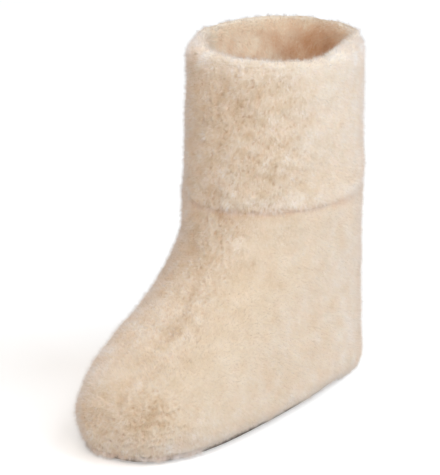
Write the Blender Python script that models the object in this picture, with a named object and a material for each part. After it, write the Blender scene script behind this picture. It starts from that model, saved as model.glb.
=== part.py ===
# Fleece slipper boot: a hollow foot and ankle, a doubled cuff, a thin sole and a fleece insole.
# The toe points to -Y, the heel to +Y, +Z is up and the floor is at Z = 0. Lengths are in metres.
import math
from typing import NamedTuple

import bmesh
import bpy
from mathutils import Vector

MM = 0.001

# Driving dimensions of the whole boot
LENGTH = 278 * MM
HEIGHT = 258 * MM
BALL_WIDTH = 121 * MM

# Thickness of each piece, pile included
UPPER_WALL = 8 * MM
CUFF_WALL = 13 * MM
SOLE_THICKNESS = 3 * MM
INSOLE_THICKNESS = 7 * MM

# Ankle seam: its height at the middle of the shaft, and its fall towards the heel
SEAM_HEIGHT = 147 * MM
SEAM_FALL = 0.05
CUFF_OVERHANG = 1.2 * MM
OVERHANG_FADE = 35 * MM

# The toe end of the sole lifts off the floor, and the lift fades out up the toe
TOE_SPRING = 2.5 * MM
SPRING_LENGTH = 52 * MM
SPRING_FADE_HEIGHT = 30 * MM

# Clearance between pieces that meet, and the step back of the sole's edge under the fleece
GAP = 0.3 * MM
SOLE_STEP = 1.0 * MM

# Mesh density: columns run round the boot, rows up its walls
COLUMNS = 56
UPPER_ROWS = 17
UPPER_ROW_CROWDING = 1.35
CUFF_ROWS = 8
RIM_ROWS = 6
INSOLE_ROUND_ROWS = 3
SPRING_CUTS = 5

# The insole widens upwards into the foot's roll, and its upper edge is rounded over
INSOLE_FLARE = 4 * MM
INSOLE_ROUND = 2 * MM

# Near its two open edges the upper's wall is measured level, so that those edges are flat
LEVEL_BAND = 12 * MM

# Steps for measuring the slope of the outside, round the boot and upwards
TURN_STEP = 0.002
HEIGHT_STEP = 0.5 * MM


class Section(NamedTuple):
    """A level cut through the outside of the boot, as shares of its driving dimensions."""

    height: float       # share of HEIGHT
    toe: float          # front of the cut, as a share of LENGTH from the back of the heel
    heel: float         # back of the cut, as a share of LENGTH from the back of the heel
    width: float        # share of BALL_WIDTH
    widest: float       # where the cut is widest, as a share of its own length from its back
    toe_round: float    # 2 is elliptical, more is blunter
    heel_round: float


SECTIONS = (
    # height, toe, heel, width, widest, toe round, heel round
    Section(0.012, 0.975, 0.032, 0.750, 0.61, 2.40, 2.60),    # sole edge
    Section(0.031, 0.993, 0.011, 0.870, 0.61, 2.45, 2.65),    # lower roll
    Section(0.062, 1.000, 0.000, 0.985, 0.61, 2.50, 2.70),    # full roll
    Section(0.109, 0.993, 0.004, 1.000, 0.61, 2.60, 2.70),    # ball
    Section(0.171, 0.960, 0.008, 0.975, 0.60, 2.60, 2.75),    # toe top
    Section(0.233, 0.889, 0.008, 0.935, 0.59, 2.60, 2.75),    # vamp
    Section(0.302, 0.765, 0.007, 0.900, 0.56, 2.45, 2.60),    # lower instep
    Section(0.380, 0.655, 0.008, 0.905, 0.52, 2.15, 2.35),    # instep
    Section(0.465, 0.583, 0.020, 0.925, 0.48, 2.05, 2.15),    # ankle bend
    Section(0.570, 0.555, 0.029, 0.935, 0.44, 2.15, 2.10),    # ankle seam
    Section(0.680, 0.547, 0.027, 0.920, 0.43, 2.25, 2.10),    # lower shaft
    Section(0.833, 0.527, 0.030, 0.942, 0.48, 2.25, 2.10),    # upper shaft
    Section(1.000, 0.486, 0.034, 0.990, 0.54, 2.25, 2.10),    # rim
)

SOLE_EDGE_HEIGHT = SECTIONS[0].height * HEIGHT
RIM_RADIUS = CUFF_WALL / 2
RIM_START = HEIGHT - RIM_RADIUS


def slopes(levels, values):
    """Slopes of a smooth curve through the rows that never overshoots between two of them."""
    chords = []
    for low in range(len(levels) - 1):
        chords.append((values[low + 1] - values[low]) / (levels[low + 1] - levels[low]))
    inner = []
    for before, after in zip(chords, chords[1:]):
        if before * after <= 0:
            inner.append(0.0)
        else:
            inner.append(2 * before * after / (before + after))
    return [chords[0], *inner, chords[-1]]


LEVELS = [row.height for row in SECTIONS]
COLUMN_VALUES = {field: [getattr(row, field) for row in SECTIONS] for field in Section._fields[1:]}
COLUMN_SLOPES = {field: slopes(LEVELS, values) for field, values in COLUMN_VALUES.items()}


def section_value(field, height):
    """One column of the section table, read smoothly at a height in metres."""
    level = min(max(height / HEIGHT, LEVELS[0]), LEVELS[-1])
    low = 0
    while low < len(LEVELS) - 2 and level > LEVELS[low + 1]:
        low += 1
    span = LEVELS[low + 1] - LEVELS[low]
    t = (level - LEVELS[low]) / span
    values = COLUMN_VALUES[field]
    tangents = COLUMN_SLOPES[field]
    start = (1 + 2 * t) * (1 - t) ** 2 * values[low] + t * (1 - t) ** 2 * span * tangents[low]
    end = t * t * (3 - 2 * t) * values[low + 1] + t * t * (t - 1) * span * tangents[low + 1]
    return start + end


def rounded(value, roundness):
    """Sine or cosine reshaped from an ellipse towards a blunter outline."""
    return math.copysign(abs(value) ** (2 / roundness), value)


def outside(turn, height):
    """Point on the outside at a turn (0 at the toe seam, a quarter at the +X side) and a height."""
    back = LENGTH / 2 - section_value("heel", height) * LENGTH
    front = LENGTH / 2 - section_value("toe", height) * LENGTH
    middle = back + (front - back) * section_value("widest", height)
    half_width = section_value("width", height) * BALL_WIDTH / 2
    across = math.sin(2 * math.pi * turn)
    along = math.cos(2 * math.pi * turn)
    roundness = section_value("toe_round" if along >= 0 else "heel_round", height)
    reach = front - middle if along >= 0 else middle - back
    x = half_width * rounded(across, roundness)
    y = middle + reach * rounded(along, roundness)
    return Vector((x, y, height))


def outward(turn, height, level_share):
    """Outward normal of the outside; a level share of 1 takes away all of its rise or fall."""
    around = outside(turn + TURN_STEP, height) - outside(turn - TURN_STEP, height)
    upward = outside(turn, height + HEIGHT_STEP) - outside(turn, height - HEIGHT_STEP)
    normal = around.cross(upward).normalized()
    normal.z *= 1 - level_share
    return normal.normalized()


def wall_point(turn, height, depth, level_share):
    """Point inside the wall, at a depth from the outside."""
    return outside(turn, height) - depth * outward(turn, height, level_share)


def seam_height(turn):
    """Height of the ankle seam, which falls towards the heel."""
    on_seam = outside(turn, SEAM_HEIGHT)
    front = outside(0.0, SEAM_HEIGHT).y
    back = outside(0.5, SEAM_HEIGHT).y
    return SEAM_HEIGHT - SEAM_FALL * (on_seam.y - (front + back) / 2)


def smooth_step(t):
    """Soft ramp from 0 to 1."""
    t = min(max(t, 0.0), 1.0)
    return t * t * (3 - 2 * t)


def sprung(point):
    """The point lifted by the toe spring."""
    past = (SPRING_LENGTH - LENGTH / 2 - point.y) / SPRING_LENGTH
    fade = max(0.0, 1 - point.z / SPRING_FADE_HEIGHT)
    return point + Vector((0, 0, TOE_SPRING * max(0.0, past) ** 2 * fade))


def finished(name, bm, boot, colour, roughness):
    """Closes a bmesh into a named, smooth-shaded object with its own material."""
    bmesh.ops.remove_doubles(bm, verts=bm.verts, dist=0.00001)
    bmesh.ops.recalc_face_normals(bm, faces=bm.faces)
    mesh = bpy.data.meshes.new(name)
    bm.to_mesh(mesh)
    bm.free()
    mesh.shade_smooth()
    mesh.set_sharp_from_angle(angle=math.radians(50))
    material = bpy.data.materials.new(name)
    material.use_nodes = True
    shader = material.node_tree.nodes["Principled BSDF"]
    shader.inputs["Base Color"].default_value = (*colour, 1.0)
    shader.inputs["Roughness"].default_value = roughness
    shader.inputs["Metallic"].default_value = 0.0
    mesh.materials.append(material)
    piece = bpy.data.objects.new(name, mesh)
    piece.parent = boot
    bpy.context.collection.objects.link(piece)
    return piece


def wrapped_wall(profile):
    """Wraps a grid into a hollow wall: columns go round the boot, rows once round the profile.

    The profile is a list of functions that give a point for a turn, in order round the wall.
    """
    bm = bmesh.new()
    rows = len(profile)
    bmesh.ops.create_grid(bm, x_segments=COLUMNS, y_segments=rows, size=0.5)
    for vert in bm.verts:
        turn = round((vert.co.x + 0.5) * COLUMNS) % COLUMNS / COLUMNS
        row = round((vert.co.y + 0.5) * rows) % rows
        vert.co = sprung(profile[row](turn))
    return bm


def make_upper(boot):
    """Foot and ankle: one hollow wall, open at the ankle seam and under the foot."""

    def row(share, depth):
        def place(turn):
            top = seam_height(turn) - GAP / 2
            bottom = SOLE_EDGE_HEIGHT + GAP
            height = bottom + (top - bottom) * share ** UPPER_ROW_CROWDING
            from_edge = min(height - bottom, top - height)
            return wall_point(turn, height, depth, 1 - smooth_step(from_edge / LEVEL_BAND))
        return place

    shares = [step / UPPER_ROWS for step in range(UPPER_ROWS + 1)]
    outer = [row(share, 0.0) for share in shares]
    inner = [row(share, UPPER_WALL) for share in reversed(shares)]
    return finished("upper", wrapped_wall(outer + inner), boot, (0.80, 0.68, 0.53), 0.95)


def make_cuff(boot):
    """Shaft band: doubled fleece that rounds over at the rim and overhangs the ankle seam a little."""

    def row(share, depth):
        def place(turn):
            bottom = seam_height(turn) + GAP / 2
            height = bottom + (RIM_START - bottom) * share
            overhang = CUFF_OVERHANG * (1 - smooth_step((height - bottom) / OVERHANG_FADE))
            proud = overhang if depth == 0.0 else 0.0
            return wall_point(turn, height, depth - proud, 1.0)
        return place

    def rim_row(angle):
        def place(turn):
            point = wall_point(turn, RIM_START, RIM_RADIUS * (1 - math.cos(angle)), 1.0)
            return point + Vector((0, 0, RIM_RADIUS * math.sin(angle)))
        return place

    shares = [step / CUFF_ROWS for step in range(CUFF_ROWS + 1)]
    outer = [row(share, 0.0) for share in shares]
    rim = [rim_row(math.pi * step / RIM_ROWS) for step in range(1, RIM_ROWS)]
    inner = [row(share, CUFF_WALL) for share in reversed(shares)]
    return finished("cuff", wrapped_wall(outer + rim + inner), boot, (0.82, 0.70, 0.55), 0.95)


def flat_piece(outline, lid_outline, bottom, top):
    """Solid between a lower and an upper outline. Returns its bmesh and its lid face."""
    bm = bmesh.new()
    base = bm.faces.new([bm.verts.new((point.x, point.y, bottom)) for point in outline])
    lid = bm.faces.new([bm.verts.new((point.x, point.y, top)) for point in lid_outline])
    bmesh.ops.bridge_loops(bm, edges=[*base.edges, *lid.edges])
    return bm, lid


def bend_up_toe(bm):
    """Cuts a flat piece across the toe and lifts it there by the toe spring."""
    for cut in range(SPRING_CUTS):
        across = SPRING_LENGTH * (1 - cut / SPRING_CUTS) - LENGTH / 2
        geometry = [*bm.verts, *bm.edges, *bm.faces]
        bmesh.ops.bisect_plane(bm, geom=geometry, plane_co=(0, across, 0), plane_no=(0, 1, 0))
    for vert in bm.verts:
        vert.co = sprung(vert.co)


def sole_outline(depth):
    """Ring of points level with the sole edge, at a depth from the outside of the fleece."""
    turns = [column / COLUMNS for column in range(COLUMNS)]
    return [wall_point(turn, SOLE_EDGE_HEIGHT, depth, 1.0) for turn in turns]


def make_outsole(boot):
    """Thin flat sole, cut a little inside the fleece's lower edge and bent up at the toe."""
    edge = sole_outline(SOLE_STEP)
    bm, _ = flat_piece(edge, edge, 0.0, SOLE_THICKNESS)
    bend_up_toe(bm)
    return finished("outsole", bm, boot, (0.075, 0.068, 0.055), 0.85)


def make_insole(boot):
    """Fleece insole that fills the foot's lower edge and lies on the sole."""
    bottom = SOLE_EDGE_HEIGHT + GAP
    inner_edge = sole_outline(UPPER_WALL + GAP)
    flared_edge = sole_outline(UPPER_WALL + GAP - INSOLE_FLARE)
    bm, lid = flat_piece(inner_edge, flared_edge, bottom, bottom + INSOLE_THICKNESS)
    bmesh.ops.bevel(bm, geom=lid.edges[:], offset=INSOLE_ROUND, offset_type="OFFSET",
                    segments=INSOLE_ROUND_ROWS, profile=0.5, affect="EDGES", material=-1)
    bend_up_toe(bm)
    return finished("insole", bm, boot, (0.72, 0.58, 0.43), 0.95)


def main():
    for old in list(bpy.data.objects):
        bpy.data.objects.remove(old, do_unlink=True)
    boot = bpy.data.objects.new("slipper_boot", None)
    bpy.context.collection.objects.link(boot)
    make_upper(boot)
    make_cuff(boot)
    make_outsole(boot)
    make_insole(boot)


main()
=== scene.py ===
import math
from typing import NamedTuple

import bmesh
import bpy
import numpy as np
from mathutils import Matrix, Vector
from mathutils.bvhtree import BVHTree


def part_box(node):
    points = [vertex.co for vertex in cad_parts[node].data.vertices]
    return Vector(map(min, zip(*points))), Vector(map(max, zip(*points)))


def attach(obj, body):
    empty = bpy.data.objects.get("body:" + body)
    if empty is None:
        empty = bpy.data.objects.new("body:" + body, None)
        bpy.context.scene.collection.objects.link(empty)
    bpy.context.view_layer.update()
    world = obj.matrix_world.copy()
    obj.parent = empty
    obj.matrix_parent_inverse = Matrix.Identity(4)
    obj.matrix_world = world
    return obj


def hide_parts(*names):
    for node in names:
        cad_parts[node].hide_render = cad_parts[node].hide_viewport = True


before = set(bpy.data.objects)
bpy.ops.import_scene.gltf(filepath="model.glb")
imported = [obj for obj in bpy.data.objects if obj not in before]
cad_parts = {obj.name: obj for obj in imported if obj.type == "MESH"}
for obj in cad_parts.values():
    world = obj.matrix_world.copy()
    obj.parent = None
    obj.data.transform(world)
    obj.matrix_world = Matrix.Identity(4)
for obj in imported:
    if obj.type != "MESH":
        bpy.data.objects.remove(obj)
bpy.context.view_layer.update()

MM = 0.001
BODY = "root"

# Main lines of the boot: the rim, the ankle seam, which falls towards the heel, and lines across the foot
CUFF_LOW, CUFF_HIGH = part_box("cuff")
RIM_HEIGHT = CUFF_HIGH.z
SEAM_FALL = 0.05
SHAFT_MIDDLE = (CUFF_LOW.y + CUFF_HIGH.y) / 2
BALL_LINE = -45 * MM
HEEL_LINE = 45 * MM
TOE_LINE = -72 * MM
TOE_RUN = 22 * MM
ROUND_START = 95 * MM
RIM_BAND = 12 * MM
RIM_EDGE = 5 * MM

# The opening, as it lies in the photograph: thick in front and at its two ends, and thin at its far edge
OPENING_REACH = 34 * MM
NARROWING = 0.1
FAR_THINNING = 9 * MM
FAR_RUN = 24 * MM
LINING_REACH = 300 * MM

# The fleece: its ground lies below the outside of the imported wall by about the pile's height
GROUND_DEPTH = 1.5 * MM
TUFT_SPACING = 3.1 * MM
LOCK_SPACING = 4.6 * MM
CLUMP_SPACING = 8.5 * MM
PATCH_SPACING = 16 * MM
LUMP_SPACING = 30 * MM
TUFT_RISE = 0.35 * MM
LUMP_RISE = 0.45 * MM
PILE_LENGTH = 2.6 * MM
LONGEST = 6.5 * MM
FIBRE_WIDTH = 0.2 * MM
ROOT_DEPTH = 0.3 * MM
TUFT_PULL = 0.035
EDGE_PULL = 0.1
STRAY = 0.38
NAP = 0.28
LINING_NAP = 0.9
FLYAWAYS = 0.25
NEARLY_LEVEL = (1, 1, 0.0001)

# The meshes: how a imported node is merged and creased, the ground's values and the pile's map
MERGE_DISTANCE = 0.001 * MM
SHARP_EDGE = math.radians(45)
CREASE = 0.9
HOLLOW_SHADE_AND_WEAR = "hollow_shade_and_wear"
PALENESS = "paleness"
PILE_MAP = "OFBake"
MAP_STEP = 0.01
MAP_MARGIN = 0.02
SHADE_MARGIN = 0.03

# The side that faces +X is combed smooth from these lines on, later low on the toe, and the rest is tufted
SMOOTH_FOOT = 24 * MM
SMOOTH_SHAFT = 50 * MM
TUFTED_TOE = 22 * MM
LOW_TOE = 60 * MM
LOW_TOE_RUN = 20 * MM
COMBED_WIDTH = 22 * MM
COMBED_TUFTS = 0.34
ADDED_TUFTS = 0.66
INSIDE_TUFTS = 0.6
REFINED_TUFTS = 0.42

# Front and back seams: a shallow trough in the pile, painted a little in shade, wandering off the middle of
# the front
TROUGH_DEPTH = 0.7 * MM
TROUGH_HALF_WIDTH = 3.2 * MM
SEAM_WANDER = (
    # height, step aside in millimetres
    (15, 4), (32, 5), (46, 1), (69, -1), (82, 5), (106, -2),
    (125, 7), (148, 5), (184, 1), (206, -1), (242, -6),
)

# Ankle seam: the cuff's edge draws in above a valley, both walls close on it, and it is painted in shade
SEAM_VALLEY = 0.45 * MM
SEAM_HALF_WIDTH = 2.6 * MM
DRAWN_IN = 0.6 * MM
DRAWN_IN_HEIGHT = 8 * MM
SEAM_BLEND = 4 * MM
CUFF_CLOSING = 0.12 * MM
UPPER_CLOSING = 0.48 * MM
CLOSING_HEIGHT = 1.5 * MM

# Fibres straggle across the ankle seam, over the sole and in locks on the rim, and crowd at the seam
STRAGGLE_HEIGHT = 2 * MM
CUFF_STRAGGLE = 3.5 * MM
UPPER_STRAGGLE = 2.5 * MM
SOLE_STRAGGLE = 5 * MM
SOLE_STRAGGLE_LOW = 3 * MM
SOLE_STRAGGLE_HIGH = 25 * MM
RIM_LOCKS = 6 * MM
SEAM_CROWD = 3 * MM
SEAM_TUFTS = 5 * MM

# Lower edge: the fleece hangs over the sole, and lowest round the toe
HEM_HEIGHT = 14 * MM
HEM_FADE = 8 * MM
HEM_DROP = 1.6 * MM
TOE_DROP = 2.8 * MM
LOWEST = 1.0 * MM
FLOOR_GAP = 0.3 * MM
UNDERSIDE = 8 * MM
FRINGE_TOP = 7 * MM
FRINGE_LENGTH = 2.8 * MM
FRINGE_TOE = 1.2 * MM


class Mark(NamedTuple):
    """A soft mark in the fleece: its middle and its half sizes in millimetres, and how strong it is."""

    x: float
    y: float
    z: float
    across: float
    tall: float
    strength: float


# Hollows where the pile lies parted, painted darker: browner ground and painted shade, whose strength is how
# far
PARTINGS = (
    Mark(5, -15, 148, 5, 4, 0.9),        # notch where the front seam meets the ankle seam
    Mark(7, -18, 131, 4, 9, 0.35),       # front seam below the notch
    Mark(8, -65, 82, 9, 7, 0.55),        # middle of the vamp
    Mark(6, -1, 239, 8, 7, 0.35),        # shaft below the rim
    Mark(14, -4, 226, 9, 8, 0.5),        # upper shaft, beside the front seam
    Mark(-11, -7, 214, 9, 9, 0.3),       # upper shaft, other side of the front seam
    Mark(24, -6, 187, 8, 7, 0.4),        # lower shaft
    Mark(42, 10, 180, 9, 6, 0.75),       # above the pale strip
    Mark(49, 23, 171, 8, 6, 0.55),       # above the pale strip, further round
    Mark(-2, -15, 162, 7, 7, 0.4),       # front seam above the notch
    Mark(20, -13, 136, 6, 3, 0.3),       # fold under the ankle seam
    Mark(30, -13, 116, 8, 3, 0.35),      # fold on the instep
    Mark(26, -127, 36, 13, 9, 1.0),      # toe, to the right of the seam
    Mark(3, -124, 45, 9, 8, 0.25),       # toe, on the seam
    Mark(-16, -135, 29, 8, 5, 0.6),      # dimple at the toe
    Mark(51, 85, 21, 8, 4, 0.35),        # heel, above the sole
    Mark(26, 3, 237, 11, 7, 0.35),       # shaft below the rim, further round
    Mark(45, -5, 100, 12, 14, 0.2),      # side of the ankle
    Mark(36, -113, 46, 12, 9, 0.25),     # toe, further round
    Mark(-30, -40, 100, 8, 9, 0.4),      # instep, hidden side
    Mark(-45, 20, 195, 9, 7, 0.4),       # shaft, hidden side
    Mark(-52, 70, 60, 10, 8, 0.35),      # heel, hidden side
    Mark(12, 131, 190, 9, 8, 0.4),       # back of the shaft
)

# Places painted paler, whose strength is how much
PALE_PATCHES = (
    Mark(4, -14, 172, 16, 14, 0.18),     # front of the shaft, above the ankle seam
    Mark(10, -18, 132, 12, 11, 0.13),    # instep
    Mark(-22, -108, 54, 26, 22, 0.14),   # top of the toe
    Mark(-12, -70, 82, 20, 16, 0.06),    # vamp, left of the seam
    Mark(52, 82, 38, 24, 17, 0.13),      # heel
    Mark(52, 90, 85, 20, 34, 0.08),      # back of the foot
    Mark(56, 84, 240, 26, 16, 0.06),     # shaft below the rim
)

# Painted light: where the combed side of the shaft, the roll above the ankle seam and the toe's lower edge
# are paler
COMBED_RISE = 40 * MM
STRIP_HEIGHT = 7 * MM
STRIP_HALF_WIDTH = 5 * MM
PALE_HEM = 5 * MM
PALE_HEM_HALF_WIDTH = 9 * MM

# Where the lining is painted deeper in shade: to the right as the camera sees it and down the shaft
SHADED_RUN = 50 * MM
SHADED_DEPTH = 70 * MM

# The top of the toe, where the pile lies smoother by this share
SMOOTH_TOE = Mark(-10, -112, 52, 28, 18, 0.55)

# Swellings, whose strength is their height in millimetres
RIDGES = (
    Mark(47, 113, 6, 24, 10, 6.2),       # heel, above the sole
    Mark(-47, 113, 6, 24, 10, 6.2),      # heel, hidden side
    Mark(-16, -130, 14, 14, 7, 1.5),     # toe, below the dimple
    Mark(24, -17, 127, 14, 4, 0.8),      # fold under the ankle seam
)

# The lining thins out down to this height, and the insole is pressed flat where heel and ball tread
DEEP_LINING = 150 * MM
DEEP_LINING_RUN = 60 * MM
INSOLE_TOP = 8 * MM
INSOLE_PILE_LENGTH = 1.6 * MM
INSOLE_DEPTH = 0.5 * MM
INSOLE_LUMPS = 0.3 * MM
TREAD_DEPTH = 1.6 * MM
TREAD_HALF_WIDTH = 26 * MM
HEEL_TREAD = 88 * MM
HEEL_TREAD_REACH = 34 * MM
BALL_TREAD = -62 * MM
BALL_TREAD_REACH = 40 * MM

# The camera at the photograph's angle, looking at the middle of the boot
CAMERA_AZIMUTH = math.radians(35.48)
CAMERA_ELEVATION = math.radians(19.07)
CAMERA_DISTANCE = 3.065
CAMERA_TARGET = Vector((-0.0062, 0.0033, 0.1243))
CAMERA_LENS = 328.4
CAMERA_SENSOR = 36.0

# The floor is a wide sheet, which shows white to the camera
FLOOR_HALF_SIZE = 6.0
FLOOR_GLOW = 0.4
FLOOR_DIM = 0.05

# Softboxes, all of one size and aimed at the middle of the boot, and the light from all around
SOFTBOX_SIZE = 1.8
LIGHT_AIM = Vector((0, 0, 0.12))
AROUND = 0.14


class Value:
    """An output of a node, with the operators that shader sums use."""

    def __init__(self, nodes, socket):
        self.nodes = nodes
        self.socket = socket

    def combine(self, operation, left, right):
        return self.nodes.node("ShaderNodeMath", {"operation": operation}, {0: left, 1: right})

    def __add__(self, other):
        return self.combine("ADD", self, other)

    def __radd__(self, other):
        return self.combine("ADD", other, self)

    def __rsub__(self, other):
        return self.combine("SUBTRACT", other, self)

    def __mul__(self, other):
        return self.combine("MULTIPLY", self, other)

    def __rmul__(self, other):
        return self.combine("MULTIPLY", other, self)

    def __pow__(self, other):
        return self.combine("POWER", self, other)


class Nodes:
    """The nodes of a material or of the world, from none on."""

    def __init__(self, owner):
        owner.use_nodes = True
        self.tree = owner.node_tree
        self.tree.nodes.clear()

    def node(self, kind, settings=None, sockets=None, output=0):
        made = self.tree.nodes.new(kind)
        for name, setting in (settings or {}).items():
            setattr(made, name, setting)
        for name, value in (sockets or {}).items():
            if isinstance(value, Value):
                self.tree.links.new(value.socket, made.inputs[name])
            else:
                made.inputs[name].default_value = value
        return Value(self, made.outputs[output]) if made.outputs else None


class Finish(Nodes):
    """A material and the nodes that make it."""

    def __init__(self, name):
        self.material = bpy.data.materials.new(name)
        super().__init__(self.material)

    def noise(self, size, detail, roughness=0.5):
        place = self.node("ShaderNodeTexCoord", output="Object")
        sockets = {"Vector": place, "Scale": 1 / size, "Detail": detail, "Roughness": roughness}
        return self.node("ShaderNodeTexNoise", sockets=sockets)

    def spread(self, value, low, high):
        """The value taken from low...high to 0...1, and held there outside."""
        sockets = {"Value": value, "From Min": low, "From Max": high}
        return self.node("ShaderNodeMapRange", {"clamp": True}, sockets)

    def mix(self, share, first, second):
        return self.node("ShaderNodeMix", {"data_type": "RGBA"}, {0: share, 6: first, 7: second}, 2)

    def bump(self, height, distance):
        sockets = {"Height": height, "Distance": distance, "Strength": 1.0}
        return self.node("ShaderNodeBump", sockets=sockets)

    def surface(self, sockets):
        shader = self.node("ShaderNodeBsdfPrincipled", sockets=sockets)
        self.node("ShaderNodeOutputMaterial", sockets={"Surface": shader})
        return self.material


def colour(red, green, blue):
    """A colour from its sRGB values, 0 to 255."""
    shares = [c / 255 for c in (red, green, blue)]
    linear = [s / 12.92 if s <= 0.04045 else ((s + 0.055) / 1.055) ** 2.4 for s in shares]
    return (*linear, 1.0)


def ground_finish(name, hollow, deep, pale):
    """The wool ground under the pile: mottled in two creams, browner between the tufts as painted shade,
    curly in grain.
    """
    finish = Finish(name)
    patches = finish.noise(22 * MM, 3.0)
    curls = finish.noise(2.2 * MM, 3.0, 0.6)
    grain = finish.noise(0.9 * MM, 2.0)
    between = finish.node("ShaderNodeAttribute", {"attribute_name": HOLLOW_SHADE_AND_WEAR}, output="Fac")
    paleness = finish.node("ShaderNodeAttribute", {"attribute_name": PALENESS}, output="Fac")
    share = finish.spread(patches * 0.25 + curls * 0.3 + paleness * 0.6, 0.36, 0.92)
    return finish.surface({
        "Base Color": finish.mix(between, finish.mix(share, deep, pale), hollow),
        "Roughness": 0.86 + 0.12 * curls,
        "Specular IOR Level": 0.2,
        "Sheen Weight": 0.25,
        "Sheen Roughness": 0.5,
        "Normal": finish.bump(curls * 0.7 + grain * 0.3, 0.15 * MM),
    })


def pile_finish(name, root_deep, root_pale, tip_deep, tip_pale, blush):
    """The pile: a fibre runs from a deep root to a pale tip, the deeper root partly painted shade low in the
    pile, and its place across the map sets its shade, which carries painted light and shade. It blushes in
    patches."""
    finish = Finish(name)
    spot = finish.node("ShaderNodeUVMap", {"uv_map": PILE_MAP})
    shade = finish.node("ShaderNodeSeparateXYZ", sockets={0: spot}, output="X")
    along = finish.node("ShaderNodeSeparateXYZ", sockets={0: spot}, output="Y")
    root = finish.mix(shade, root_deep, root_pale)
    tip = finish.mix(shade, tip_deep, tip_pale)
    patches = finish.spread(finish.noise(9 * MM, 1.0), 0.35, 0.65)
    wool = finish.mix(0.14 * patches, finish.mix(along ** 0.7, root, tip), blush)
    solid = finish.node("ShaderNodeBsdfPrincipled", sockets={
        "Base Color": wool,
        "Roughness": 0.95 - 0.1 * along,
        "Specular IOR Level": 0.15,
    })
    glow = finish.node("ShaderNodeBsdfTranslucent", sockets={"Color": wool})
    both = finish.node("ShaderNodeMixShader", sockets={0: 0.5, 1: solid, 2: glow})
    finish.node("ShaderNodeOutputMaterial", sockets={"Surface": both})
    return finish.material


def sole_finish():
    """Dark napped suede, scuffed paler in places."""
    finish = Finish("sole_suede")
    patches = finish.noise(18 * MM, 4.0)
    nap = finish.noise(0.7 * MM, 3.0, 0.65)
    share = finish.spread(patches * 0.6 + nap * 0.4, 0.38, 0.66)
    return finish.surface({
        "Base Color": finish.mix(share, colour(88, 77, 63), colour(126, 113, 95)),
        "Roughness": 0.82 + 0.16 * nap,
        "Specular IOR Level": 0.2,
        "Sheen Weight": 0.2,
        "Normal": finish.bump(nap, 0.25 * MM),
    })


def add_piece(name, mesh, materials):
    """A piece of the boot, at the origin, on the boot's body."""
    piece = bpy.data.objects.new(name, mesh)
    bpy.context.scene.collection.objects.link(piece)
    for material in materials:
        mesh.materials.append(material)
    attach(piece, BODY)
    return piece


def node_copy(node):
    """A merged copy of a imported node's mesh, with its triangles paired to quads."""
    bm = bmesh.new()
    bm.from_mesh(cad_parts[node].data)
    bmesh.ops.remove_doubles(bm, verts=bm.verts, dist=MERGE_DISTANCE)
    bmesh.ops.join_triangles(bm, faces=bm.faces, angle_face_threshold=1.0, angle_shape_threshold=math.pi)
    creases = bm.edges.layers.float.new("crease_edge")
    for edge in bm.edges:
        edge[creases] = CREASE if edge.calc_face_angle() > SHARP_EDGE else 0.0
    return bm


def mark_lining(bm):
    """Gives the second material to the faces that look across the inside of the boot."""
    tree = BVHTree.FromBMesh(bm)
    for face in bm.faces:
        start = face.calc_center_median() + face.normal * MM
        hit = tree.ray_cast(start, face.normal, LINING_REACH)[0]
        face.material_index = 1 if hit is not None else 0


def softened(name, bm, levels, materials):
    """A piece from a bmesh, rounded by subdivision, with the subdivision applied."""
    rough = bpy.data.meshes.new(name)
    bm.to_mesh(rough)
    bm.free()
    cage = bpy.data.objects.new(name, rough)
    bpy.context.scene.collection.objects.link(cage)
    rounding = cage.modifiers.new("rounding", "SUBSURF")
    rounding.levels = levels
    rounding.render_levels = levels
    shape = cage.evaluated_get(bpy.context.evaluated_depsgraph_get())
    mesh = bpy.data.meshes.new_from_object(shape)
    bpy.data.objects.remove(cage)
    bpy.data.meshes.remove(rough)
    mesh.name = name
    piece = add_piece(name, mesh, materials)
    mesh.shade_smooth()
    return piece


class Waves:
    """A smooth random field in space, a sum of waves of about one length."""

    COUNT = 48

    def __init__(self, seed, length):
        draw = np.random.default_rng(seed)
        ways = draw.normal(size=(self.COUNT, 3))
        ways /= np.linalg.norm(ways, axis=1)[:, None]
        self.ways = ways * (2 * math.pi / (length * draw.uniform(0.7, 1.5, self.COUNT)))[:, None]
        self.starts = draw.uniform(0, 2 * math.pi, self.COUNT)
        self.share = math.sqrt(2 / self.COUNT)

    def height(self, spots):
        return self.share * np.sin(spots @ self.ways.T + self.starts).sum(axis=1)

    def slope(self, spots):
        return self.share * np.cos(spots @ self.ways.T + self.starts) @ self.ways


TUFTS = Waves(11, TUFT_SPACING)
LUMPS = Waves(12, LUMP_SPACING)
PATCHES = Waves(13, PATCH_SPACING)
CLUMPS = Waves(14, CLUMP_SPACING)
LOCKS = Waves(15, LOCK_SPACING)


def read(items, name, width, kind=np.float32):
    """One property of all the items of a mesh, as rows of the given width."""
    values = np.empty(len(items) * width, kind)
    items.foreach_get(name, values)
    return values.reshape(-1, width) if width > 1 else values


def unit(rows):
    """The rows, each brought to a length of 1."""
    return rows / np.maximum(np.linalg.norm(rows, axis=1), 1e-9)[:, None]


def bell(distance, half_width):
    """1 at no distance, falling smoothly to about a third at the half width."""
    return np.exp(-((distance / half_width) ** 2))


def crest(spots):
    """How near a spot is to the top of the rim, 0 to 1."""
    return bell(spots[:, 2] - RIM_HEIGHT, RIM_BAND)


def above_seam(spots):
    """Height of each spot above the ankle seam."""
    return spots[:, 2] - CUFF_LOW.z - SEAM_FALL * (CUFF_HIGH.y - spots[:, 1])


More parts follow.
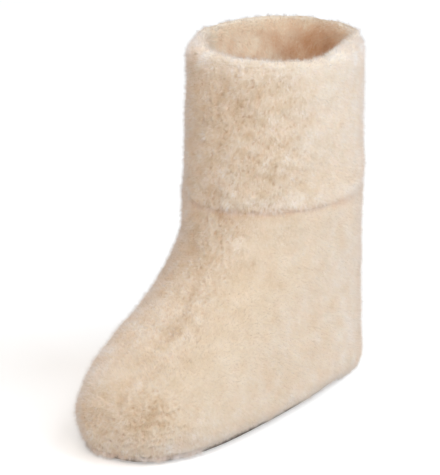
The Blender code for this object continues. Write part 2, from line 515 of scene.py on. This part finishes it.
def unevenness(spots, outward):
    """How tufted the pile is, 0 to 1: most in front and on the left, less inside, least on the right."""
    low_toe = toe_front(spots) * np.clip((LOW_TOE - spots[:, 2]) / LOW_TOE_RUN, 0, 1)
    edge = np.where(above_seam(spots) > 0, SMOOTH_SHAFT, SMOOTH_FOOT + TUFTED_TOE * low_toe)
    tufted = COMBED_TUFTS + ADDED_TUFTS * np.clip((edge - spots[:, 0]) / COMBED_WIDTH + 0.5, 0, 1)
    tufted *= 1 - SMOOTH_TOE.strength * nearby(SMOOTH_TOE, spots)
    inside = facing_inside(spots, outward)
    return (tufted * (1 - inside) + INSIDE_TUFTS * inside) * (1 - 0.5 * crest(spots))


def trough(spots):
    """How deep the front and back seams press the pile at each spot, 0 to 1."""
    heights, steps = np.array(SEAM_WANDER).T * MM
    aside = np.interp(spots[:, 2], heights, steps) * (spots[:, 1] < SHAFT_MIDDLE)
    return bell(spots[:, 0] - aside, TROUGH_HALF_WIDTH) * (1 - crest(spots))


def nearby(mark, spots):
    """How near each spot is to the middle of a mark, 0 to 1."""
    reach = np.array((mark.across, mark.across, mark.tall)) * MM
    away = (spots - np.array(mark[:3]) * MM) / reach
    return np.exp(-(away ** 2).sum(axis=1))


def parted(spots):
    """How far the pile is parted at each spot, from 0 to about 1, with a ragged edge."""
    most = np.max([mark.strength * nearby(mark, spots) for mark in PARTINGS], axis=0)
    return most * np.clip(0.85 - 0.2 * CLUMPS.height(spots), 0, 1.2)


def swelling(spots):
    """How far the fleece swells out at each spot."""
    return np.sum([mark.strength * MM * nearby(mark, spots) for mark in RIDGES], axis=0)


def toe_front(spots):
    """How far a spot lies round the front of the toe, 0 to 1."""
    return np.clip((TOE_LINE - spots[:, 1]) / TOE_RUN, 0, 1)


def hem(spots, outward):
    """How far a spot belongs to the lower outside edge of the fleece, 0 to 1."""
    middle = np.stack([np.zeros(len(spots)), np.clip(spots[:, 1], -ROUND_START, ROUND_START)], axis=1)
    outside = ((spots[:, :2] - middle) * outward[:, :2]).sum(axis=1) > 0
    low = np.clip((HEM_HEIGHT - spots[:, 2]) / HEM_FADE, 0, 1)
    return low * outside * np.clip((outward[:, 2] + 0.95) / 0.3, 0, 1)


def seam_painted_shade(spots):
    """How much painted shade lies in the ankle seam at a spot, 0 to 1, stronger in some places than in
    others.
    """
    strength = np.clip(0.55 + 0.3 * PATCHES.height(spots) + 0.3 * CLUMPS.height(spots), 0.1, 1)
    return bell(above_seam(spots), SEAM_HALF_WIDTH) * strength


def across_opening(spots):
    """Each spot's steps from the middle of the shaft to the photograph's right and towards it."""
    sine, cosine = math.sin(CAMERA_AZIMUTH), math.cos(CAMERA_AZIMUTH)
    x, y = spots[:, 0], spots[:, 1] - SHAFT_MIDDLE
    return x * cosine + y * sine, x * sine - y * cosine


def farness(spots):
    """How far a spot lies round the back of the shaft, as the photograph shows it, 0 to 1."""
    return np.clip(-across_opening(spots)[1] / FAR_RUN - 0.2, 0, 1)


def opening_step(spots, outward):
    """The level step that narrows the opening's ends and thins its far edge."""
    top = np.clip(1 - (RIM_HEIGHT - spots[:, 2]) / OPENING_REACH, 0, 1)
    inner = (1 + to_inside(spots, outward)) / 2 * top
    far = farness(spots)
    narrowed = -NARROWING * across_opening(spots)[0] * inner * (1 - far)
    steps = narrowed[:, None] * (math.cos(CAMERA_AZIMUTH), math.sin(CAMERA_AZIMUTH), 0)
    thinned = FAR_THINNING * far * inner
    steps[:, :2] += unit(spots[:, :2] - (0, SHAFT_MIDDLE)) * thinned[:, None]
    return steps


def to_inside(spots, outward):
    """The share of each outward direction that points level to the middle of the shaft."""
    to_middle = unit(np.array((0, SHAFT_MIDDLE)) - spots[:, :2])
    return (to_middle * outward[:, :2]).sum(axis=1) * (above_seam(spots) > 0)


def facing_inside(spots, outward):
    """How far a spot of the shaft counts as its inside, 0 to 1: from the crest on, or sooner at the back."""
    start = 0.1 + 0.25 * farness(spots) * crest(spots)
    turned = np.clip((start + to_inside(spots, outward)) / 0.7, 0, 1) * (above_seam(spots) > 0)
    return turned * (1 - 0.8 * bell(spots[:, 2] - RIM_HEIGHT, RIM_EDGE))


def paleness(spots, outward):
    """How pale the wool is, about 0 to 1, with painted light and shade in it: palest on the rim, as a painted
    highlight, deeper in the seams as painted shade, and where the pile parts, partly as painted shade.
    """
    inside = facing_inside(spots, outward)
    tufted = unevenness(spots, outward)
    height = above_seam(spots)
    pale = 0.56 + 0.07 * tufted
    pale += (0.04 + 0.01 * tufted) * PATCHES.height(spots) + 0.07 * tufted * CLUMPS.height(spots)
    # Painted highlight on the rim, and painted light higher up the combed side, on the roll above the ankle
    # seam and low on the toe
    pale += 0.2 * crest(spots) * (1 - inside)
    pale += 0.13 * (1 - tufted) * np.clip(height / COMBED_RISE, 0, 1) * (1 - inside)
    pale += 0.13 * bell(height - STRIP_HEIGHT, STRIP_HALF_WIDTH)
    pale += 0.12 * bell(spots[:, 2] - PALE_HEM, PALE_HEM_HALF_WIDTH) * toe_front(spots)
    pale += np.sum([mark.strength * nearby(mark, spots) for mark in PALE_PATCHES], axis=0)
    # Painted shade where the pile parts, in the seams' troughs and along the ankle seam
    pale -= 0.25 * parted(spots) + 0.05 * trough(spots) + 0.15 * seam_painted_shade(spots)
    return pale + inside * lining_paleness_and_painted_shade(spots)


def lining_paleness_and_painted_shade(spots):
    """How much paler the wool is painted inside the shaft: less on the right and lower down, as painted
    shade, and more at the rim, as painted light.
    """
    shaded = np.clip(across_opening(spots)[0] / SHADED_RUN + 0.2, 0, 1)
    depth = np.clip((RIM_HEIGHT - spots[:, 2]) / SHADED_DEPTH, 0, 1)
    streaks = CLUMPS.height(spots * (1, 1, 0.6))
    at_rim = crest(spots)
    return 0.18 - 0.46 * shaded * (1 - 0.85 * at_rim) - 0.15 * depth + 0.08 * streaks + 0.2 * at_rim


def buried(spots, outward):
    """How far a face lies hidden in the ankle seam or under the fleece, 0 to 1."""
    joint = (np.abs(above_seam(spots)) < MM) & (np.abs(outward[:, 2]) > 0.7)
    under = (spots[:, 2] < UNDERSIDE) & (outward[:, 2] < -0.8)
    return np.maximum(joint, 0.85 * under)


def set_values(mesh, name, values):
    """Stores a named value for each vertex, which the ground's finish reads."""
    layer = mesh.attributes.new(name, "FLOAT", "POINT")
    layer.data.foreach_set("value", values.astype(np.float32))


def refine_outside(mesh):
    """Splits each tufted face of a fleece wall's outside once more, so that its tufts show in the mesh."""
    bm = bmesh.new()
    bm.from_mesh(mesh)
    middles = np.array([face.calc_center_median() for face in bm.faces])
    outward = np.array([face.normal for face in bm.faces])
    rough = (unevenness(middles, outward) > REFINED_TUFTS) & (buried(middles, outward) < 0.5)
    split = [face.material_index == 0 and rough[face.index] for face in bm.faces]
    edges = [edge for edge in bm.edges if any(split[face.index] for face in edge.link_faces)]
    bmesh.ops.subdivide_edges(bm, edges=edges, cuts=1, use_grid_fill=True)
    bm.to_mesh(mesh)
    bm.free()


def sink_ground(piece):
    """Moves a fleece wall's surface in by the pile's height, and lays its lumps, tufts and seams in it."""
    mesh = piece.data
    refine_outside(mesh)
    spots = read(mesh.vertices, "co", 3).astype(float)
    outward = read(mesh.vertex_normals, "vector", 3).astype(float)
    tufts = TUFTS.height(spots) * unevenness(spots, outward)
    opened = parted(spots)
    height = above_seam(spots)
    rise = LUMP_RISE * LUMPS.height(spots) + TUFT_RISE * tufts + swelling(spots) - GROUND_DEPTH
    rise -= TROUGH_DEPTH * np.maximum(trough(spots), 0.7 * opened)
    rise -= SEAM_VALLEY * bell(height, SEAM_HALF_WIDTH)
    rise -= DRAWN_IN * bell(height, DRAWN_IN_HEIGHT) * (height > 0)
    near_seam = bell(height, SEAM_BLEND)[:, None]
    sideways = outward * (1, 1, 0)
    sideways /= np.maximum(np.linalg.norm(sideways, axis=1), 0.5)[:, None]
    moved = spots + (outward * (1 - near_seam) + sideways * near_seam) * rise[:, None]
    moved += opening_step(spots, outward)
    moved[:, 2] += np.where(height > 0, -CUFF_CLOSING, UPPER_CLOSING) * bell(height, CLOSING_HEIGHT)
    moved[:, 2] -= hem(spots, outward) * (HEM_DROP + TOE_DROP * toe_front(spots))
    moved[:, 2] = np.maximum(moved[:, 2], LOWEST)
    # Painted shade between the tufts, where the pile parts and along the ankle seam
    between = np.clip((-0.3 - tufts) / 3.4, 0, 1) + 0.35 * opened + 0.3 * seam_painted_shade(spots)
    set_values(mesh, HOLLOW_SHADE_AND_WEAR, np.clip(between, 0, 1))
    set_values(mesh, PALENESS, np.clip(paleness(spots, outward), 0, 1))
    mesh.vertices.foreach_set("co", moved.astype(np.float32).ravel())
    mesh.update()
    # Faces turned to the inside take the lining's finish, the fleece in painted shade
    middles = read(mesh.polygons, "center", 3).astype(float)
    inside = facing_inside(middles, read(mesh.polygons, "normal", 3).astype(float)) > 0.5
    lined = np.maximum(read(mesh.polygons, "material_index", 1, np.int32), inside)
    mesh.polygons.foreach_set("material_index", lined.astype(np.int32))
    mesh.set_sharp_from_angle(angle=SHARP_EDGE)


def ground_spots(piece, per_mm2, wanted, seed):
    """Random spots on the faces of a ground that wanted keeps, the outward way at each, and the draw used."""
    mesh = piece.data
    mesh.calc_loop_triangles()
    corners = read(mesh.loop_triangles, "vertices", 3, np.int32)
    faces = read(mesh.loop_triangles, "polygon_index", 1, np.int32)
    lining = read(mesh.polygons, "material_index", 1, np.int32)[faces]
    points = read(mesh.vertices, "co", 3).astype(float)
    outward = read(mesh.vertex_normals, "vector", 3).astype(float)
    a, b, c = (points[corners[:, k]] for k in range(3))
    areas = np.linalg.norm(np.cross(b - a, c - a), axis=1) / 2
    centres = (a + b + c) / 3
    facing = unit(np.cross(b - a, c - a))
    areas *= wanted(centres, lining, facing_inside(centres, facing)) * (1 - buried(centres, facing))
    areas *= 1 + 2 * bell(above_seam(centres), SEAM_CROWD)
    draw = np.random.default_rng(seed)
    count = int(areas.sum() / MM ** 2 * per_mm2)
    picks = np.searchsorted(np.cumsum(areas), draw.uniform(0, areas.sum(), count))
    share = draw.dirichlet((1, 1, 1), count)
    spots = np.einsum("nk,nkd->nd", share, points[corners[picks]])
    ways = np.einsum("nk,nkd->nd", share, outward[corners[picks]])
    return spots, ways / np.linalg.norm(ways, axis=1)[:, None], draw


def lying(roots, outward, draw):
    """The way that each fibre lies: drawn to its tuft's top, combed down, and straggling over the edges."""
    height = above_seam(roots)
    count = len(roots)
    above = bell(height - STRAGGLE_HEIGHT, CUFF_STRAGGLE) * (height > 0)
    below = bell(height + STRAGGLE_HEIGHT, UPPER_STRAGGLE) * (height < 0)
    over_seam = above * draw.uniform(0.2, 2.0, count)
    over_seam -= below * draw.uniform(-0.4, 1.4, count)
    over_sole = np.exp(-np.maximum(roots[:, 2] - SOLE_STRAGGLE_LOW, 0) / SOLE_STRAGGLE)
    over_sole *= roots[:, 2] < SOLE_STRAGGLE_HIGH
    at_edge = np.maximum(over_sole, bell(roots[:, 2] - RIM_HEIGHT, RIM_LOCKS))
    lean = TUFTS.slope(roots) * (TUFT_PULL * TUFT_SPACING * unevenness(roots, outward))[:, None]
    lean += LOCKS.slope(roots) * (EDGE_PULL * LOCK_SPACING * at_edge)[:, None]
    inside = facing_inside(roots, outward)
    lean += draw.normal(0, STRAY, (count, 3)) * (1 + 0.4 * inside)[:, None]
    lean[:, 2] -= (NAP + LINING_NAP * inside) * (1 - crest(roots)) + over_seam + 1.3 * over_sole
    lean -= outward * (lean * outward).sum(axis=1)[:, None]
    return unit(outward + lean)


def fibres(name, roots, outward, way, length, width, shade, draw, material):
    """Fine wool fibres, each a slim triangle from its root to its tip, joined to one mesh."""
    count = len(roots)
    base = roots - ROOT_DEPTH * outward
    tip = roots + way * length[:, None]
    tip[:, 2] = np.maximum(tip[:, 2], FLOOR_GAP)
    across = unit(np.cross(way, draw.normal(size=(count, 3)))) * (width / 2)[:, None]
    points = np.stack([base - across, base + across, tip], axis=1)
    mesh = bpy.data.meshes.new(name)
    mesh.vertices.add(3 * count)
    mesh.vertices.foreach_set("co", points.astype(np.float32).ravel())
    mesh.loops.add(3 * count)
    mesh.loops.foreach_set("vertex_index", np.arange(3 * count, dtype=np.int32))
    mesh.polygons.add(count)
    mesh.polygons.foreach_set("loop_start", 3 * np.arange(count, dtype=np.int32))
    mesh.polygons.foreach_set("loop_total", np.full(count, 3, np.int32))
    across_map = np.clip(shade, SHADE_MARGIN, 1 - SHADE_MARGIN)[:, None] + MAP_STEP * np.array([-1, 1, 0])
    along_map = np.broadcast_to([MAP_MARGIN, MAP_MARGIN, 1 - MAP_MARGIN], (count, 3))
    chart = mesh.uv_layers.new(name=PILE_MAP)
    chart.data.foreach_set("uv", np.stack([across_map, along_map], axis=2).astype(np.float32).ravel())
    mesh.update()
    mesh.validate()
    piece = add_piece(name, mesh, [material])
    piece.visible_shadow = False
    return piece


def grow_pile(name, piece, wanted, finish, per_mm2, seed, length=PILE_LENGTH, painted_shade_lift=0.0):
    """Wool pile on the part of a ground that wanted keeps."""
    roots, outward, draw = ground_spots(piece, per_mm2, wanted, seed)
    count = len(roots)
    tufts = TUFTS.height(roots) * unevenness(roots, outward)
    lengths = length * draw.uniform(0.5, 1.4, count) * (1 + 0.12 * tufts)
    at_seam = bell(above_seam(roots), SEAM_TUFTS) * np.clip(0.3 + 0.5 * CLUMPS.height(roots), 0, 1)
    lengths *= 1 - 0.3 * parted(roots) + 0.25 * LOCKS.height(roots) * crest(roots) + 0.6 * at_seam
    widths = FIBRE_WIDTH * draw.uniform(0.7, 1.3, count)
    loose = draw.random(count) < FLYAWAYS * (1 - 0.8 * crest(roots))
    lengths[loose] *= draw.uniform(1.2, 2.4, loose.sum())
    widths[loose] *= 0.85
    lengths = np.minimum(lengths, LONGEST)
    # Tuft tops painted paler and their hollows deeper, as painted light and shade on the tufts
    shade = paleness(roots, outward) + 0.1 * tufts + painted_shade_lift
    spread = 0.04 + 0.03 * unevenness(roots, outward) + 0.12 * facing_inside(roots, outward)
    shade += draw.normal(0, 1, count) * spread
    way = lying(roots, outward, draw)
    pile = fibres(name, roots, outward, way, lengths, widths, shade, draw, finish)


def grow_fringe(name, piece, wanted, finish, per_mm2, seed):
    """The ragged lower edge of the fleece, which hangs over the sole and to the floor round the toe."""
    roots, outward, draw = ground_spots(piece, per_mm2, wanted, seed)
    count = len(roots)
    tufts = TUFTS.height(roots)
    lengths = (FRINGE_LENGTH + FRINGE_TOE * toe_front(roots)) * draw.uniform(0.6, 1.3, count)
    lengths *= 1 + 0.2 * CLUMPS.height(roots)
    level = unit(outward * NEARLY_LEVEL)
    way = level * draw.uniform(0.1, 0.6, count)[:, None] + draw.normal(0, 0.2, (count, 3))
    way += CLUMPS.slope(roots) * (0.5 * EDGE_PULL * CLUMP_SPACING)
    way[:, 2] -= 1.0
    # Painted light on the toe's fringe, and tuft tops painted paler
    shade = 0.62 + 0.14 * toe_front(roots) + 0.07 * tufts + draw.normal(0, 0.06, count)
    widths = FIBRE_WIDTH * draw.uniform(0.8, 1.4, count)
    fringe = fibres(name, roots, outward, unit(way), lengths, widths, shade, draw, finish)


# Finishes of the fleece, and of the lining: the same fleece in deeper, warmer tones, as painted shade inside
FLEECE_GROUND = ground_finish(
    "fleece_ground", colour(190, 160, 126), colour(213, 197, 171), colour(241, 234, 222)
)
SHADED_LINING_GROUND = ground_finish(
    "lining_ground_painted_shade", colour(180, 138, 102), colour(206, 165, 129), colour(236, 226, 210)
)
FLEECE_PILE = pile_finish(
    "fleece_pile", colour(211, 187, 153), colour(239, 237, 237), colour(229, 210, 186), colour(244, 247, 252),
    colour(238, 200, 168)
)
SHADED_LINING_PILE = pile_finish(
    "lining_pile_painted_shade", colour(188, 136, 98), colour(228, 225, 213), colour(208, 164, 127), colour(239, 239, 234),
    colour(222, 196, 170)
)


def make_sole():
    """The flat suede sole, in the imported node's shape."""
    sole = softened("suede_sole", node_copy("outsole"), 0, [sole_finish()])
    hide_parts("outsole")


def make_insole():
    """The fleece insole, pressed down where heel and ball tread."""
    insole = softened("fleece_insole", node_copy("insole"), 2, [SHADED_LINING_GROUND])
    mesh = insole.data
    spots = read(mesh.vertices, "co", 3).astype(float)
    outward = read(mesh.vertex_normals, "vector", 3).astype(float)
    upward = np.clip(outward[:, 2], 0, 1)
    worn = bell(spots[:, 1] - HEEL_TREAD, HEEL_TREAD_REACH) + bell(spots[:, 1] - BALL_TREAD, BALL_TREAD_REACH)
    worn *= bell(spots[:, 0], TREAD_HALF_WIDTH)
    spots[:, 2] -= upward * (TREAD_DEPTH * worn + INSOLE_DEPTH + INSOLE_LUMPS * LUMPS.height(spots))
    # Darker where heel and ball have worn it, and painted shade between the tufts
    set_values(mesh, HOLLOW_SHADE_AND_WEAR, np.clip(0.35 * worn - 0.2 * TUFTS.height(spots), 0, 1))
    set_values(mesh, PALENESS, np.clip(0.5 - 0.2 * worn, 0, 1))
    mesh.vertices.foreach_set("co", spots.astype(np.float32).ravel())
    mesh.update()
    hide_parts("insole")
    return insole


def make_wall(node):
    """A fleece wall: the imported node's shape with its surface sunk by the pile's height."""
    bm = node_copy(node)
    mark_lining(bm)
    wall = softened(node + "_fleece_ground", bm, 2, [FLEECE_GROUND, SHADED_LINING_GROUND])
    sink_ground(wall)
    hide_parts(node)
    return wall


def make_pile(upper, cuff, insole):
    """All the pile, one piece for each part of the boot, with a rule for the faces that it grows on."""
    rim = RIM_HEIGHT - RIM_BAND

    def toe(spots, lining, inside):
        return (lining == 0) & (spots[:, 1] < BALL_LINE)

    def instep(spots, lining, inside):
        return (lining == 0) & (spots[:, 1] >= BALL_LINE) & (spots[:, 1] < HEEL_LINE)

    def heel(spots, lining, inside):
        return (lining == 0) & (spots[:, 1] >= HEEL_LINE)

    def lower_edge(spots, lining, inside):
        return ((lining == 0) & (spots[:, 2] < FRINGE_TOP)) * (0.65 + 0.35 * toe_front(spots))

    def shaft(spots, lining, inside):
        return (lining == 0) & (spots[:, 2] < rim)

    def edge(spots, lining, inside):
        return (spots[:, 2] >= rim) * (1 - inside)

    def shaft_inside(spots, lining, inside):
        thinning = np.clip((spots[:, 2] - DEEP_LINING) / DEEP_LINING_RUN, 0.4, 1)
        return ((lining == 1) & (spots[:, 2] < rim)) * thinning + (spots[:, 2] >= rim) * inside * 2

    def foot_inside(spots, lining, inside):
        return (lining == 1) & (spots[:, 1] > 0)

    def sole_inside(spots, lining, inside):
        return spots[:, 2] > INSOLE_TOP

    grow_pile("toe_pile", upper, toe, FLEECE_PILE, per_mm2=3.5, seed=21)
    grow_pile("instep_pile", upper, instep, FLEECE_PILE, per_mm2=3.5, seed=22)
    grow_pile("heel_pile", upper, heel, FLEECE_PILE, per_mm2=3.2, seed=23)
    grow_fringe("hem_fringe", upper, lower_edge, FLEECE_PILE, per_mm2=20.0, seed=29)
    grow_pile("shaft_pile", cuff, shaft, FLEECE_PILE, per_mm2=3.5, seed=24)
    grow_pile("rim_pile", cuff, edge, FLEECE_PILE, per_mm2=5.0, seed=25)
    grow_pile("shaft_lining_pile", cuff, shaft_inside, SHADED_LINING_PILE, per_mm2=3.2, seed=26)
    # The foot's lining and the insole are painted deeper, as shade deep in the boot
    grow_pile(
        "foot_lining_pile", upper, foot_inside, SHADED_LINING_PILE, per_mm2=0.4, seed=27, painted_shade_lift=-0.2
    )
    grow_pile(
        "insole_pile", insole, sole_inside, SHADED_LINING_PILE, per_mm2=1.0, seed=28,
        length=INSOLE_PILE_LENGTH, painted_shade_lift=-0.2
    )


def make_floor():
    """A plain pale floor, which glows more to the camera than it lights the boot."""
    bm = bmesh.new()
    bmesh.ops.create_grid(bm, x_segments=1, y_segments=1, size=FLOOR_HALF_SIZE)
    mesh = bpy.data.meshes.new("floor")
    bm.to_mesh(mesh)
    bm.free()
    floor = bpy.data.objects.new("floor", mesh)
    bpy.context.scene.collection.objects.link(floor)
    finish = Finish("pale_floor")
    tone = finish.noise(0.8, 1.0)
    paper = {
        "Base Color": finish.mix(tone, (0.84, 0.87, 0.91, 1), (0.86, 0.89, 0.93, 1)),
        "Roughness": 0.9,
        "Specular IOR Level": 0.1,
        "Emission Color": (1, 1, 1, 1),
    }
    dim = finish.node("ShaderNodeBsdfPrincipled", sockets={**paper, "Emission Strength": FLOOR_DIM})
    lit = finish.node("ShaderNodeBsdfPrincipled", sockets={**paper, "Emission Strength": FLOOR_GLOW})
    seen = finish.node("ShaderNodeLightPath", output="Is Camera Ray")
    both = finish.node("ShaderNodeMixShader", sockets={0: seen, 1: dim, 2: lit})
    finish.node("ShaderNodeOutputMaterial", sockets={"Surface": both})
    mesh.materials.append(finish.material)


def add_light(name, place, power, tint):
    """A round softbox, aimed at the boot."""
    data = bpy.data.lights.new(name, "AREA")
    data.color = tint
    data.shape = "DISK"
    data.size = SOFTBOX_SIZE
    data.energy = power
    light = bpy.data.objects.new(name, data)
    light.location = place
    light.rotation_mode = "QUATERNION"
    light.rotation_quaternion = (LIGHT_AIM - Vector(place)).to_track_quat("-Z", "Y")
    bpy.context.scene.collection.objects.link(light)


def from_camera(right, toward, up):
    """A place given by steps to the picture's right, towards the camera and up."""
    a = CAMERA_AZIMUTH
    return (
        right * math.cos(a) + toward * math.sin(a),
        right * math.sin(a) - toward * math.cos(a),
        up,
    )


def make_light():
    """The softboxes, a little light from all around, and white behind."""
    add_light("right_softbox", from_camera(1.6, 0.3, 2.0), 32.5, (0.84, 0.93, 1.0))
    add_light("front_softbox", from_camera(0.2, 1.45, 2.1), 28.7, (1.0, 0.875, 0.762))
    add_light("back_softbox", from_camera(-0.3, -2.0, 1.8), 11, (1.0, 1.0, 1.0))
    add_light("edge_softbox", from_camera(2.0, -1.6, 0.8), 5, (0.9, 0.96, 1.0))
    add_light("left_fill", from_camera(-2.4, 0.3, 1.2), 7.5, (1.0, 0.72, 0.45))
    world = bpy.data.worlds.new("studio")
    studio = Nodes(world)
    around = studio.node("ShaderNodeBackground", sockets={"Color": (1, 0.97, 0.94, 1), "Strength": AROUND})
    behind = studio.node("ShaderNodeBackground", sockets={"Color": (1, 1, 1, 1)})
    seen = studio.node("ShaderNodeLightPath", output="Is Camera Ray")
    both = studio.node("ShaderNodeMixShader", sockets={0: seen, 1: around, 2: behind})
    studio.node("ShaderNodeOutputWorld", sockets={"Surface": both})
    bpy.context.scene.world = world
    bpy.context.scene.view_settings.view_transform = "Standard"


def make_camera():
    """The camera at the photograph's viewing angle."""
    a, e = CAMERA_AZIMUTH, CAMERA_ELEVATION
    back = Vector((math.sin(a) * math.cos(e), -math.cos(a) * math.cos(e), math.sin(e)))
    data = bpy.data.cameras.new("camera")
    data.lens = CAMERA_LENS
    data.sensor_width = CAMERA_SENSOR
    camera = bpy.data.objects.new("camera", data)
    camera.location = CAMERA_TARGET + back * CAMERA_DISTANCE
    camera.rotation_mode = "QUATERNION"
    camera.rotation_quaternion = (-back).to_track_quat("-Z", "Y")
    bpy.context.scene.collection.objects.link(camera)
    bpy.context.scene.camera = camera


make_camera()
make_light()
make_floor()
make_sole()
make_pile(make_wall("upper"), make_wall("cuff"), make_insole())
